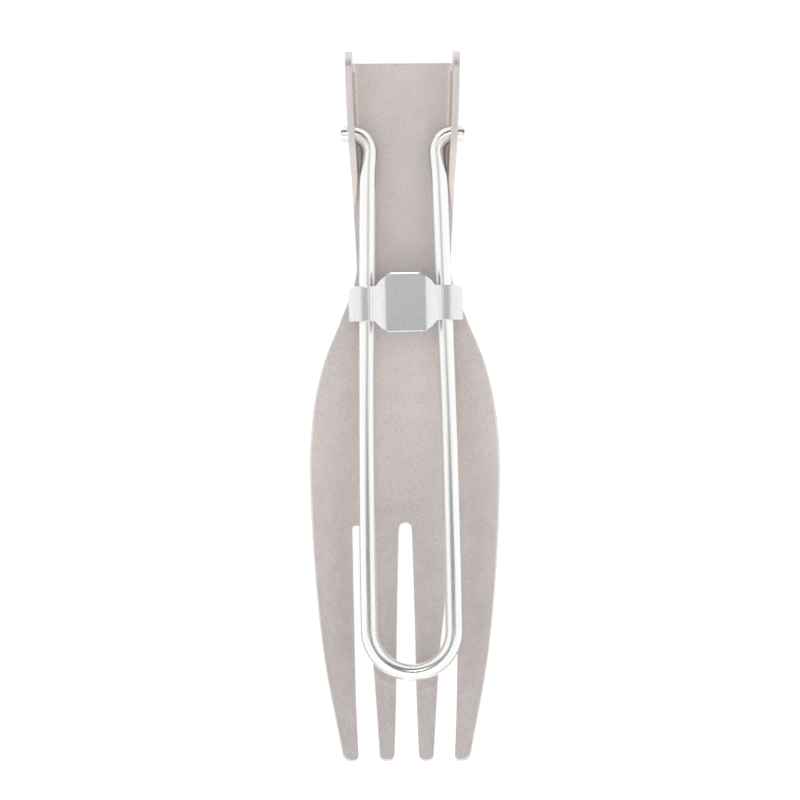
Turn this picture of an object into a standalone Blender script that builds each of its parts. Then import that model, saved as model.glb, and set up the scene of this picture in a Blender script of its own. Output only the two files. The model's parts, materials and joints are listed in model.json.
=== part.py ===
"""Folding camp fork: a pressed titanium head, a bent wire handle and a sliding lock clip.

The fork lies on its back as on a table, folded.  +Z points up out of the hollow of the
head, +X runs across it, and the tines point towards -Y.  The origin is on the table,
under the middle of the bounding box.  Distances called "along" are measured from the
handle's pivot towards the tine tips, so the ears of the stem are at negative values.
"""

import math

import bmesh
import bpy
from mathutils import Matrix, Vector

MM = 0.001

# Lengths along the fork, from the pivot
EAR_TIP = -12.1 * MM
STEM_END = -10.45 * MM
TINE_TIP = 91.7 * MM
NECK_START = 15.4 * MM
DROP_START = 20.0 * MM
BELLY = 54.0 * MM

# The pressed sheet
SHEET = 1.0 * MM
BEND_RADIUS = 1.1 * MM          # of the sheet's middle, where the ears turn up
EAR_ANGLE = math.radians(88.0)
BEND_LENGTH = BEND_RADIUS * EAR_ANGLE
EAR_WALL = 4.6 * MM             # straight height of an ear above its bend
EAR_NOSE = 2.5 * MM             # corner radius of an ear at the stem's end
WALL_FALL = (1.0 * MM, 10.0 * MM)
BEND_FADE = (4.0 * MM, 12.3 * MM)
COLUMNS_SPREAD = (3.0 * MM, 10.0 * MM)
BELLY_DROP = 3.2 * MM
TIP_RISE = 5.4 * MM             # of the tine tips above the belly
DISH_DEPTH = 1.9 * MM
DISH_AT_TIPS = 0.7 * MM
DISH_FULL = (46.0 * MM, 50.0 * MM)

# Half widths of the head seen from above, as (along, half width)
HEAD_OUTLINE = [
    (15.4 * MM, 7.06 * MM), (21.0 * MM, 7.06 * MM), (27.2 * MM, 9.26 * MM), (33.1 * MM, 11.6 * MM),
    (39.0 * MM, 13.05 * MM), (46.3 * MM, 13.78 * MM), (53.0 * MM, 13.78 * MM), (65.4 * MM, 13.15 * MM),
    (77.2 * MM, 11.9 * MM), (89.0 * MM, 9.7 * MM), (93.0 * MM, 8.9 * MM),
]
EAR_OUTLINE = [(-12.1 * MM, 8.5 * MM), (-2.2 * MM, 8.15 * MM), (5.15 * MM, 7.7 * MM), (15.4 * MM, 7.06 * MM)]

# Slots between the tines
CENTRE_SLOT_TOP = 57.0 * MM
CENTRE_SLOT = [(58.0 * MM, 0.95 * MM), (71.3 * MM, 1.32 * MM), (83.1 * MM, 1.52 * MM), (95.0 * MM, 1.95 * MM)]
SIDE_SLOT_TOP = 57.4 * MM
SIDE_SLOT_CORNER = 0.45 * MM
SIDE_SLOT_INNER = [(57.4 * MM, 6.25 * MM), (68.7 * MM, 5.74 * MM), (76.0 * MM, 4.95 * MM), (95.0 * MM, 3.7 * MM)]
SIDE_SLOT_OUTER = [(57.4 * MM, 7.85 * MM), (71.0 * MM, 7.65 * MM), (83.0 * MM, 7.42 * MM), (95.0 * MM, 6.9 * MM)]
TINE_TIPS = [(2.9 * MM, 1.15 * MM), (8.2 * MM, 1.25 * MM)]    # (centre, half width) at the tips

# Relief notches beside the stem's end
NOTCH_RADIUS = 0.9 * MM
NOTCH_AT = Vector((7.0 * MM, -9.05 * MM))
NOTCH_TOP = 1.25 * MM
NOTCH_OPENS = math.radians(25.0)  # where its mouth meets its round end

# Wire handle
WIRE_RADIUS = 1.25 * MM
PIVOT_HEIGHT = 2.95 * MM        # above the middle of the stem's sheet
BORE_RADIUS = 1.55 * MM
PIN_END = 9.26 * MM
PIN_BEND = 2.1 * MM
LEG_SPREAD = [(2.1 * MM, 4.84 * MM), (6.0 * MM, 5.12 * MM), (18.4 * MM, 5.42 * MM), (39.7 * MM, 5.95 * MM),
              (61.0 * MM, 6.18 * MM), (72.65 * MM, 6.2 * MM)]
LEG_LEAN = 0.012                # sideways run of the legs for each unit of length
BAIL_RADIUS = 6.2 * MM
BAIL_START = 72.65 * MM

# Slide lock
CLIP_SHEET = 0.6 * MM
CLIP_AT = 24.77 * MM
BAND_HALF = 2.57 * MM
LOOP_CENTRE = 6.2 * MM
LOOP_RADIUS = 1.85 * MM         # of the sheet's middle
LIP_END = 4.6 * MM
CREASE = 5.05 * MM
PAD_HALF = 3.3 * MM
PAD_HEIGHT = 4.05 * MM          # of the sheet's middle above the wires' middle
PAD_BEND = 0.55 * MM
PAD_PLAN = [(2.17 * MM, 4.92 * MM), (4.15 * MM, BAND_HALF), (4.4 * MM, -BAND_HALF), (2.65 * MM, -4.2 * MM)]
BAND_CORNER = 0.6 * MM
CLIP_OUTER = LOOP_CENTRE + LOOP_RADIUS + CLIP_SHEET

# Where the fork stands in its own frame
PIVOT_Y = (TINE_TIP + EAR_TIP) / 2
PLATE_Z = BELLY_DROP + SHEET / 2
PIVOT_Z = PLATE_Z + PIVOT_HEIGHT

# Resolution
HALF_COLUMNS_FLAT = 5
HALF_COLUMNS_BEND = 4
HALF_COLUMNS_WALL = 2
ARC_STEPS = 10


def clear_scene():
    """Remove every object of the open file."""
    for obj in list(bpy.data.objects):
        bpy.data.objects.remove(obj, do_unlink=True)


def smoothstep(start, end, value):
    """Rise smoothly from 0 at start to 1 at end."""
    t = min(max((value - start) / (end - start), 0.0), 1.0)
    return t * t * (3.0 - 2.0 * t)


def curve_value(stations, at):
    """Read a smooth curve through (place, value) stations, held straight past its ends."""
    places = [place for place, _ in stations]
    values = [value for _, value in stations]
    if at <= places[0]:
        return values[0]
    if at >= places[-1]:
        return values[-1]
    i = max(k for k, place in enumerate(places) if place <= at)
    slopes = []
    for k in (i, i + 1):
        low = max(k - 1, 0)
        high = min(k + 1, len(places) - 1)
        slopes.append((values[high] - values[low]) / (places[high] - places[low]))
    width = places[i + 1] - places[i]
    t = (at - places[i]) / width
    start = (2 * t ** 3 - 3 * t ** 2 + 1) * values[i] + (t ** 3 - 2 * t ** 2 + t) * width * slopes[0]
    end = (3 * t ** 2 - 2 * t ** 3) * values[i + 1] + (t ** 3 - t ** 2) * width * slopes[1]
    return start + end


def spaced(start, end, count):
    """Give count even steps from start, leaving out the end."""
    return [start + (end - start) * k / count for k in range(count)]


def arc(centre, radius, start, end, steps):
    """Give points on an arc, angles in radians, both ends included."""
    points = []
    for k in range(steps + 1):
        angle = start + (end - start) * k / steps
        points.append((centre[0] + radius * math.cos(angle), centre[1] + radius * math.sin(angle)))
    return points


def make_material(name, colour, roughness, metallic):
    """Make a Principled material of one colour."""
    material = bpy.data.materials.new(name)
    material.use_nodes = True
    shader = material.node_tree.nodes["Principled BSDF"]
    shader.inputs["Base Color"].default_value = (*colour, 1.0)
    shader.inputs["Roughness"].default_value = roughness
    shader.inputs["Metallic"].default_value = metallic
    return material


def link_mesh(name, bm, material=None):
    """Turn a bmesh into a linked object."""
    mesh = bpy.data.meshes.new(name)
    bm.to_mesh(mesh)
    bm.free()
    obj = bpy.data.objects.new(name, mesh)
    bpy.context.scene.collection.objects.link(obj)
    if material:
        mesh.materials.append(material)
    return obj


def prism(name, outline, low, high):
    """Extrude a closed outline of (x, along) points between two heights above the stem."""
    bm = bmesh.new()
    verts = [bm.verts.new((x, -along, low)) for x, along in outline]
    face = bm.faces.new(verts)
    top = bmesh.ops.extrude_face_region(bm, geom=[face])["geom"]
    moved = [item for item in top if isinstance(item, bmesh.types.BMVert)]
    bmesh.ops.translate(bm, vec=(0.0, 0.0, high - low), verts=moved)
    bmesh.ops.recalc_face_normals(bm, faces=bm.faces)
    return link_mesh(name, bm)


def hide_cutter(obj, parent):
    """Keep a cutter out of the model, in its place under the piece that it cuts."""
    obj.hide_render = True
    obj.display_type = "WIRE"
    obj.parent = parent


def add_boolean(obj, cutter, operation="DIFFERENCE"):
    """Cut a piece with a cutter that moves with it."""
    modifier = obj.modifiers.new(cutter.name, "BOOLEAN")
    modifier.operation = operation
    modifier.solver = "EXACT"
    modifier.object = cutter
    hide_cutter(cutter, obj)


def shade(obj, degrees=35.0):
    """Shade a piece smooth, with its hard edges kept."""
    obj.data.shade_smooth()
    obj.data.set_sharp_from_angle(angle=math.radians(degrees))


def middle_height(along):
    """Give the height of the sheet's centre line over the stem."""
    if along <= BELLY:
        turn = math.pi * min(max((along - DROP_START) / (BELLY - DROP_START), 0.0), 1.0)
        return -BELLY_DROP * (0.5 - 0.5 * math.cos(turn))
    rise = (along - BELLY) / (TINE_TIP - BELLY)
    return -BELLY_DROP + TIP_RISE * rise ** 2


def dish(along):
    """Give how far the edges of the head stand above its centre line."""
    grow = DISH_DEPTH * smoothstep(DROP_START, DISH_FULL[0], along)
    fade = (DISH_DEPTH - DISH_AT_TIPS) * smoothstep(DISH_FULL[1], TINE_TIP, along)
    return grow - fade


def ear_wall(along):
    """Give the straight height of the ear, rounded at its nose and falling to the neck."""
    wall = EAR_WALL * (1.0 - smoothstep(*WALL_FALL, along))
    nose = min(max((EAR_TIP + EAR_NOSE - along) / EAR_NOSE, 0.0), 1.0)
    return wall - EAR_NOSE * (1.0 - math.sqrt(1.0 - nose ** 2))


def stem_shape(along):
    """Give the stem's half section: its flat half width, its bend's radius and angle, its wall."""
    fade = 1.0 - smoothstep(*BEND_FADE, along)
    angle = EAR_ANGLE * max(fade, 0.001)
    radius = BEND_LENGTH / angle
    wall = ear_wall(along)
    edge = curve_value(EAR_OUTLINE, along) - SHEET / 2 * math.sin(angle)
    fold = edge - radius * math.sin(angle) - wall * math.cos(angle)
    return fold, radius, angle, wall


def column_reach(column, fold, wall, along):
    """Give how far out a column of points lies, measured along the sheet from its centre line."""
    counts = (HALF_COLUMNS_FLAT, HALF_COLUMNS_BEND, HALF_COLUMNS_WALL)
    step = column * sum(counts)
    reach = 0.0
    for count, length in zip(counts, (fold, BEND_LENGTH, wall)):
        reach += length * min(max(step / count, 0.0), 1.0)
        step -= count
    even = column * (fold + BEND_LENGTH + wall)
    return reach + (even - reach) * smoothstep(*COLUMNS_SPREAD, along)


def sheet_point(column, along):
    """Place a point of the head's sheet, column 0 on the centre line and 1 at its edge."""
    if along >= NECK_START:
        height = middle_height(along) + dish(along) * column ** 2
        return curve_value(HEAD_OUTLINE, along) * column, height
    fold, radius, angle, wall = stem_shape(along)
    reach = column_reach(column, fold, wall, along)
    if reach <= fold:
        return reach, 0.0
    turned = min(reach - fold, BEND_LENGTH) / radius
    climb = max(reach - fold - BEND_LENGTH, 0.0)
    x = fold + radius * math.sin(turned) + climb * math.cos(angle)
    return x, radius * (1.0 - math.cos(turned)) + climb * math.sin(angle)


def sheet_rows():
    """List the places along the fork where the sheet has a row of points."""
    nose_turn = [EAR_TIP + EAR_NOSE * (1.0 - math.cos(math.pi / 2 * k / 5)) for k in range(5)]
    rows = nose_turn + spaced(EAR_TIP + EAR_NOSE, WALL_FALL[0], 5)
    rows += spaced(WALL_FALL[0], NECK_START, 18)
    rows += spaced(NECK_START, BELLY, 18)
    rows += spaced(BELLY, TINE_TIP + 0.6 * MM, 14) + [TINE_TIP + 0.6 * MM]
    return rows


def side_slot_outline(side):
    """Outline the slot between an outer tine and its neighbour, with small round corners."""
    reach = TINE_TIP + 2.0 * MM
    r = SIDE_SLOT_CORNER
    top = SIDE_SLOT_TOP + r
    outer = curve_value(SIDE_SLOT_OUTER, top) - r
    inner = curve_value(SIDE_SLOT_INNER, top) + r
    points = [(x, -y) for x, y in arc((outer, -top), r, 0.0, math.pi / 2, 4)]
    points += [(x, -y) for x, y in arc((inner, -top), r, math.pi / 2, math.pi, 4)]
    places = spaced(top, reach, 8)[1:] + [reach]
    points += [(curve_value(SIDE_SLOT_INNER, s), s) for s in places]
    points += [(curve_value(SIDE_SLOT_OUTER, s), s) for s in reversed(places)]
    return [(side * x, along) for x, along in points]


def centre_slot_outline():
    """Outline the middle slot, with a round end."""
    reach = TINE_TIP + 2.0 * MM
    radius = CENTRE_SLOT[0][1]
    centre = CENTRE_SLOT_TOP + radius
    points = [(x, -y) for x, y in arc((0.0, -centre), radius, 0.0, math.pi, ARC_STEPS)]
    places = spaced(centre, reach, 8)[1:] + [reach]
    points += [(-curve_value(CENTRE_SLOT, s), s) for s in places]
    points += [(curve_value(CENTRE_SLOT, s), s) for s in reversed(places)]
    return points


def tip_outline():
    """Outline the space past the tine tips, whose near side rounds off each tine."""
    far = TINE_TIP + 4.0 * MM
    lobes = [(-c, r) for c, r in reversed(TINE_TIPS)] + TINE_TIPS
    points = [(-14.0 * MM, far), (-14.0 * MM, TINE_TIP - 2.0 * MM)]
    for centre, radius in lobes:
        points += [(x, y) for x, y in arc((centre, TINE_TIP - radius), radius, math.pi, 0.0, ARC_STEPS)]
    return points + [(14.0 * MM, TINE_TIP - 2.0 * MM), (14.0 * MM, far)]


def notch_outline(side):
    """Outline the relief notch beside the stem's end, open across the ear's bend to its tip."""
    x, along = NOTCH_AT
    mouth = EAR_TIP - MM
    inner = x - NOTCH_RADIUS * math.sin(NOTCH_OPENS)
    outer = x + 2.0 * MM
    points = [(inner, mouth)] + arc((x, along), NOTCH_RADIUS, -math.pi / 2 - NOTCH_OPENS, -2 * math.pi, ARC_STEPS)
    points += [(outer, along), (outer, mouth)]
    return [(side * px, py) for px, py in points]


def build_fork_head(material):
    """Press the head: a dished sheet with four tines and two ears turned up beside its stem."""
    rows = sheet_rows()
    half = HALF_COLUMNS_FLAT + HALF_COLUMNS_BEND + HALF_COLUMNS_WALL
    bm = bmesh.new()
    bmesh.ops.create_grid(bm, x_segments=2 * half, y_segments=len(rows) - 1, size=0.5)
    for vert in bm.verts:
        column = round((vert.co.x + 0.5) * 2 * half) - half
        row = round((0.5 - vert.co.y) * (len(rows) - 1))
        side = 1.0 if column >= 0 else -1.0
        x, z = sheet_point(abs(column) / half, rows[row])
        vert.co = Vector((side * x, -rows[row], z))
    head = link_mesh("fork_head", bm, material)
    head.location = (0.0, PIVOT_Y, PLATE_Z)
    wall = head.modifiers.new("sheet", "SOLIDIFY")
    wall.thickness = SHEET
    wall.offset = 0.0
    wall.use_even_offset = True
    add_boolean(head, prism("centre_slot_cutter", centre_slot_outline(), -8.0 * MM, 8.0 * MM))
    for side, label in ((-1.0, "left"), (1.0, "right")):
        add_boolean(head, prism(label + "_slot_cutter", side_slot_outline(side), -8.0 * MM, 8.0 * MM))
        add_boolean(head, prism(label + "_notch_cutter", notch_outline(side), -2.0 * MM, NOTCH_TOP))
    add_boolean(head, prism("tip_cutter", tip_outline(), -8.0 * MM, 8.0 * MM))
    wide = 9.5 * MM
    end = [(-wide, STEM_END), (wide, STEM_END), (wide, EAR_TIP - MM), (-wide, EAR_TIP - MM)]
    add_boolean(head, prism("stem_end_cutter", end, -2.0 * MM, NOTCH_TOP - 0.05 * MM))
    add_boolean(head, build_bore_cutter())
    shade(head)
    return head


def build_bore_cutter():
    """Make the drill for both ear holes."""
    bm = bmesh.new()
    turn = Matrix.Translation((0.0, 0.0, PIVOT_HEIGHT)) @ Matrix.Rotation(math.pi / 2, 4, "Y")
    bmesh.ops.create_cone(bm, cap_ends=True, segments=24, radius1=BORE_RADIUS, radius2=BORE_RADIUS,
                          depth=24.0 * MM, matrix=turn)
    return link_mesh("ear_bore_cutter", bm)


def wire_route():
    """Trace half of the handle's wire, from a pivot pin's end to the middle of the bail."""
    bend = PIN_BEND
    spread = LEG_SPREAD[0][1]
    points = [(PIN_END, 0.0), ((PIN_END + spread + bend) / 2, 0.0)]
    points += arc((spread + bend, bend), bend, -math.pi / 2, -math.pi, 8)
    places = [4.0 * MM, 6.0 * MM] + spaced(10.0 * MM, BAIL_START, 14)
    points += [(curve_value(LEG_SPREAD, s), s) for s in places]
    points += arc((0.0, BAIL_START), BAIL_RADIUS, 0.0, math.pi / 2, 10)
    return points


def build_wire_handle(material, pivot):
    """Bend the handle: one wire whose turned-out ends are the pivot pins."""
    half = wire_route()
    route = half + [(-x, along) for x, along in reversed(half[:-1])]
    curve = bpy.data.curves.new("wire_handle", "CURVE")
    curve.dimensions = "3D"
    curve.bevel_depth = WIRE_RADIUS
    curve.bevel_resolution = 4
    curve.use_fill_caps = True
    spline = curve.splines.new("POLY")
    spline.points.add(len(route) - 1)
    for point, (x, along) in zip(spline.points, route):
        lean = LEG_LEAN * max(along - PIN_BEND, 0.0)
        point.co = (x + lean, -along, 0.0, 1.0)
    curve.materials.append(material)
    handle = bpy.data.objects.new("wire_handle", curve)
    bpy.context.scene.collection.objects.link(handle)
    handle.parent = pivot
    return handle


def clip_section():
    """Trace half of the clip's cross-section along the middle of its sheet, from the pad out."""
    loop = LOOP_RADIUS
    rise = math.atan2(PAD_HEIGHT - loop, CREASE - PAD_HALF)
    bend = PAD_BEND
    shift = bend * math.tan(rise / 2)
    points = [(0.0, PAD_HEIGHT)]
    points += arc((PAD_HALF - shift, PAD_HEIGHT - bend), bend, math.pi / 2, math.pi / 2 - rise, 4)
    points += arc((CREASE + shift, loop + bend), bend, -math.pi / 2 - rise, -math.pi / 2, 4)
    points += arc((LOOP_CENTRE, 0.0), loop, math.pi / 2, -math.pi / 2, 12)
    return points + [(LIP_END, -loop)]


def clip_plan():
    """Outline the clip from above: a band across both wires and an eight-sided pad."""
    corner = BAND_CORNER
    half = [PAD_PLAN[0], PAD_PLAN[1], (CLIP_OUTER - corner - CLIP_SHEET, BAND_HALF),
            (CLIP_OUTER, BAND_HALF - corner), (CLIP_OUTER, -BAND_HALF), PAD_PLAN[2], PAD_PLAN[3]]
    outline = half + [(-x, y) for x, y in reversed(half)]
    return [(x, -y) for x, y in outline]


def build_slide_lock(material, slide):
    """Stamp the slide lock: a raised thumb pad between two loops that ride on the wires."""
    half = clip_section()
    section = [(-x, z) for x, z in reversed(half[1:])] + half
    reach = 6.0 * MM
    bm = bmesh.new()
    verts = [bm.verts.new((x, -reach, z)) for x, z in section]
    edges = [bm.edges.new(pair) for pair in zip(verts, verts[1:])]
    swept = bmesh.ops.extrude_edge_only(bm, edges=edges)["geom"]
    moved = [item for item in swept if isinstance(item, bmesh.types.BMVert)]
    bmesh.ops.translate(bm, vec=(0.0, 2 * reach, 0.0), verts=moved)
    clip = link_mesh("slide_lock", bm, material)
    clip.parent = slide
    wall = clip.modifiers.new("sheet", "SOLIDIFY")
    wall.thickness = CLIP_SHEET
    wall.offset = 0.0
    wall.use_even_offset = True
    plan = prism("clip_plan_cutter", clip_plan(), -6.0 * MM, 8.0 * MM)
    add_boolean(clip, plan, "INTERSECT")
    shade(clip)
    return clip


def add_empty(name, location, parent=None, turn=0.0):
    """Add a guide that carries the pieces on a joint."""
    empty = bpy.data.objects.new(name, None)
    empty.location = location
    empty.rotation_euler = (0.0, 0.0, turn)
    empty.parent = parent
    bpy.context.scene.collection.objects.link(empty)
    return empty


def main():
    """Build the three pieces in their folded place."""
    clear_scene()
    titanium = make_material("blasted_titanium", (0.52, 0.48, 0.46), 0.48, 1.0)
    polished = make_material("polished_wire", (0.72, 0.72, 0.72), 0.12, 1.0)
    stainless = make_material("stamped_stainless", (0.62, 0.62, 0.63), 0.25, 1.0)
    build_fork_head(titanium)
    pivot = add_empty("handle_pivot", (0.0, PIVOT_Y, PIVOT_Z))
    build_wire_handle(polished, pivot)
    lean = LEG_LEAN * (CLIP_AT - PIN_BEND)
    slide = add_empty("clip_slide", (lean, -CLIP_AT, 0.0), pivot, math.atan(LEG_LEAN))
    build_slide_lock(stainless, slide)


main()
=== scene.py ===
"""Folding camp fork: its finished shapes, finishes, light and camera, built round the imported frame.

The fork lies on its back, folded.  +Z points up out of the hollow of its head, +X runs across
it and the tines point towards -Y.  "Along" is measured from the handle's pivot towards the
tine tips.  The head and the clip are made as in the press shop: a flat blank is cut out, its
edges are rounded, it is scored into small cells, and a form then presses it to shape.
"""

import json
import logging
import math
from collections.abc import Callable, Iterable, Sequence
from dataclasses import dataclass, field
from enum import Enum

import bmesh
import bpy
from mathutils import Matrix, Vector


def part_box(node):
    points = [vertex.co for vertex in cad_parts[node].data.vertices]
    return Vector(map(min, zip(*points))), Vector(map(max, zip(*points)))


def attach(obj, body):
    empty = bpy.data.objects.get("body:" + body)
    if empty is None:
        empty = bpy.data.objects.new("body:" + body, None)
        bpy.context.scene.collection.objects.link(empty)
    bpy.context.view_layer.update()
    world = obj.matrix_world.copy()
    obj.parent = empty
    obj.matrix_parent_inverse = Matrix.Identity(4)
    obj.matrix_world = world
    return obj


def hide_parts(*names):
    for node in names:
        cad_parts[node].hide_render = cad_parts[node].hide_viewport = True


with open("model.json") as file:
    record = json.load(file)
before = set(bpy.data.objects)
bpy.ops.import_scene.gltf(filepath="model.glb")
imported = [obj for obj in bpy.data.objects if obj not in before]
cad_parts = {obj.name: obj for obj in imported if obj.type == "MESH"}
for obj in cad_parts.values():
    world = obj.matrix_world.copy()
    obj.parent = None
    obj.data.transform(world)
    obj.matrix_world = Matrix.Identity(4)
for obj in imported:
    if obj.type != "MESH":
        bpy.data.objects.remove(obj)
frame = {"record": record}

log = logging.getLogger("camp_fork")

MM = 0.001

Point = tuple[float, float]
Stations = Sequence[Point]
Colour = tuple[float, float, float]


class Side(Enum):
    """The two sides of the fork, seen from above with the tines towards the viewer's feet."""

    LEFT = -1.0
    RIGHT = 1.0


class Axis(Enum):
    """The two directions in which a flat blank is scored."""

    ACROSS = 0
    ALONG = 1


# --------------------------------------------------------------------------- drawing


def smoothstep(start: float, end: float, value: float) -> float:
    """Rise smoothly from 0 at start to 1 at end.

    Args:
        start: The value where the rise begins.
        end: The value where it is complete.
        value: The value to look up.

    Returns:
        A number from 0 to 1.
    """
    t = min(max((value - start) / (end - start), 0.0), 1.0)
    return t * t * (3.0 - 2.0 * t)


def curve_value(stations: Stations, at: float) -> float:
    """Read a smooth curve through stations, held straight past its ends.

    Args:
        stations: (place, value) pairs in rising order of place.
        at: The place to read.

    Returns:
        The curve's value there.
    """
    places = [place for place, _ in stations]
    values = [value for _, value in stations]
    if at <= places[0]:
        return values[0]
    if at >= places[-1]:
        return values[-1]
    i = max(k for k, place in enumerate(places) if place <= at)
    slopes = []
    for k in (i, i + 1):
        low = max(k - 1, 0)
        high = min(k + 1, len(places) - 1)
        slopes.append((values[high] - values[low]) / (places[high] - places[low]))
    width = places[i + 1] - places[i]
    t = (at - places[i]) / width
    start = (2 * t ** 3 - 3 * t ** 2 + 1) * values[i] + (t ** 3 - 2 * t ** 2 + t) * width * slopes[0]
    end = (3 * t ** 2 - 2 * t ** 3) * values[i + 1] + (t ** 3 - t ** 2) * width * slopes[1]
    return start + end


def steps(start: float, end: float, longest: float) -> list[float]:
    """Divide a stretch into even steps no longer than a given length.

    Args:
        start: Where the stretch begins.
        end: Where it ends.
        longest: The longest step allowed.

    Returns:
        The places, both ends included.
    """
    count = max(1, math.ceil(abs(end - start) / longest))
    return [start + (end - start) * k / count for k in range(count + 1)]


def arc(centre: Point, radius: float, start: float, end: float) -> list[Point]:
    """Draw an arc with a point about every seven degrees.

    Args:
        centre: The arc's centre.
        radius: Its radius.
        start: Its first angle in radians.
        end: Its last angle in radians.

    Returns:
        The points, both ends included.
    """
    angles = steps(start, end, math.radians(7.0))
    return [(centre[0] + radius * math.cos(a), centre[1] + radius * math.sin(a)) for a in angles]


def round_corner(before: Point, corner: Point, after: Point, radius: float) -> list[Point]:
    """Round one corner of an outline.

    Args:
        before: A point on the side that comes in.
        corner: The sharp corner.
        after: A point on the side that goes out.
        radius: The radius to round it with.

    Returns:
        Points on the rounded corner.
    """
    tip = Vector(corner)
    inward = (Vector(before) - tip).normalized()
    outward = (Vector(after) - tip).normalized()
    half = inward.angle(outward) / 2
    centre = tip + (inward + outward).normalized() * radius / math.sin(half)
    first = tip + inward * radius / math.tan(half) - centre
    last = tip + outward * radius / math.tan(half) - centre
    start = math.atan2(first.y, first.x)
    turn = math.remainder(math.atan2(last.y, last.x) - start, math.tau)
    return arc((centre.x, centre.y), radius, start, start + turn)


def mirrored(points: Sequence[Point]) -> list[Point]:
    """Mirror points across the centre line and reverse their order."""
    return [(-x, y) for x, y in reversed(points)]


# --------------------------------------------------------------------------- sheet metal


class Blank:
    """A flat piece of sheet: cut out, its edges rounded, scored into cells and pressed to shape."""

    WELD = 1e-7
    RIM = "rim"

    def __init__(self, thickness: float) -> None:
        """Start an empty blank.

        Args:
            thickness: The sheet's thickness.
        """
        self.thickness = thickness
        self.mesh = bmesh.new()

    def cut_out(self, outlines: Iterable[Sequence[Point]]) -> None:
        """Cut the sheet to closed outlines that share their common edges.

        Args:
            outlines: Closed outlines of (across, along) points.
        """
        bm = self.mesh
        for outline in outlines:
            bm.faces.new([bm.verts.new((x, y, -self.thickness / 2)) for x, y in outline])
        bmesh.ops.remove_doubles(bm, verts=bm.verts, dist=self.WELD)
        raised = bmesh.ops.extrude_face_region(bm, geom=bm.faces[:])["geom"]
        top = [item for item in raised if isinstance(item, bmesh.types.BMVert)]
        bmesh.ops.translate(bm, vec=(0.0, 0.0, self.thickness), verts=top)
        bmesh.ops.recalc_face_normals(bm, faces=bm.faces)

    def round_edges(self, width: float, segments: int, upper: bool) -> None:
        """Round the rim of one face of the sheet.

        Args:
            width: How far in from the edge the rounding starts.
            segments: How many facets it has.
            upper: Whether the upper face is meant, or the lower one.
        """
        bm = self.mesh
        bm.normal_update()
        wanted = 1.0 if upper else -1.0
        rim = []
        for edge in bm.edges:
            heights = sorted((face.normal.z * wanted for face in edge.link_faces), reverse=True)
            if len(heights) == 2 and heights[0] > 0.99 and abs(heights[1]) < 0.01:
                rim.append(edge)
        bmesh.ops.bevel(bm, geom=rim, offset=width, offset_type="OFFSET", segments=segments, profile=0.5,
                        affect="EDGES", clamp_overlap=True, material=-1)

    def score(self, axis: Axis, places: Iterable[float], until: float = math.inf) -> None:
        """Cut the blank's faces along straight lines, so that it can bend there.

        Args:
            axis: Whether the places are measured across the blank or along it.
            places: Where the lines run.
            until: Only faces nearer than this along the blank are cut.
        """
        bm = self.mesh
        normal = Vector((1.0, 0.0, 0.0)) if axis is Axis.ACROSS else Vector((0.0, 1.0, 0.0))
        for place in places:
            faces = [face for face in bm.faces if face.calc_center_bounds().y < until]
            edges = {edge for face in faces for edge in face.edges}
            verts = {vert for face in faces for vert in face.verts}
            bmesh.ops.bisect_plane(bm, geom=faces + list(edges) + list(verts), dist=self.WELD,
                                   plane_co=normal * place, plane_no=normal)

    def mark_rim(self) -> None:
        """Mark the points on the cut edges and their rounding, where the finish polishes the metal and
        lightens its colour, partly as wear from rubbing and partly as a painted highlight.
        """
        bm = self.mesh
        bm.normal_update()
        layer = bm.verts.layers.float.new(self.RIM)
        for face in bm.faces:
            if abs(face.normal.z) < 0.99:
                for vert in face.verts:
                    vert[layer] = 1.0

    def press(self, form: Callable[[float, float], Vector]) -> None:
        """Press the blank to shape.

        Args:
            form: Gives the place of the middle of the sheet at (across, along) on the blank.
        """
        reach = 0.01 * MM
        for vert in self.mesh.verts:
            across, along, height = vert.co
            sideways = form(across + reach, along) - form(across - reach, along)
            lengthways = form(across, along + reach) - form(across, along - reach)
            normal = lengthways.cross(sideways).normalized()
            vert.co = form(across, along) + normal * height
        bmesh.ops.recalc_face_normals(self.mesh, faces=self.mesh.faces)


class Section:
    """A strip's cross-section, which is walked by the length of its sheet."""

    def __init__(self, points: Sequence[Point]) -> None:
        """Measure a section.

        Args:
            points: (across, height) points from the middle outwards.
        """
        self.points = [Vector(point) for point in points]
        self.lengths = [0.0]
        for first, second in zip(self.points, self.points[1:]):
            self.lengths.append(self.lengths[-1] + (second - first).length)

    def at(self, length: float) -> Vector:
        """Find the point at a length of sheet from the middle.

        Args:
            length: The length, negative on the left half.

        Returns:
            The (across, height) point, run on straight past the strip's end.
        """
        walked = abs(length)
        i = max((k for k, start in enumerate(self.lengths[:-1]) if start <= walked), default=0)
        part = (walked - self.lengths[i]) / (self.lengths[i + 1] - self.lengths[i])
        point = self.points[i].lerp(self.points[i + 1], part)
        return Vector((math.copysign(point.x, length), point.y))

    def length_at(self, across: float) -> float:
        """Find the length of sheet at the first place this far across.

        Args:
            across: Distance from the middle in the finished shape.

        Returns:
            The length of sheet up to there.
        """
        for k, (first, second) in enumerate(zip(self.points, self.points[1:])):
            if first.x <= across <= second.x:
                part = (across - first.x) / (second.x - first.x)
                return self.lengths[k] + part * (self.lengths[k + 1] - self.lengths[k])
        return self.lengths[-1]


# --------------------------------------------------------------------------- shading


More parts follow.
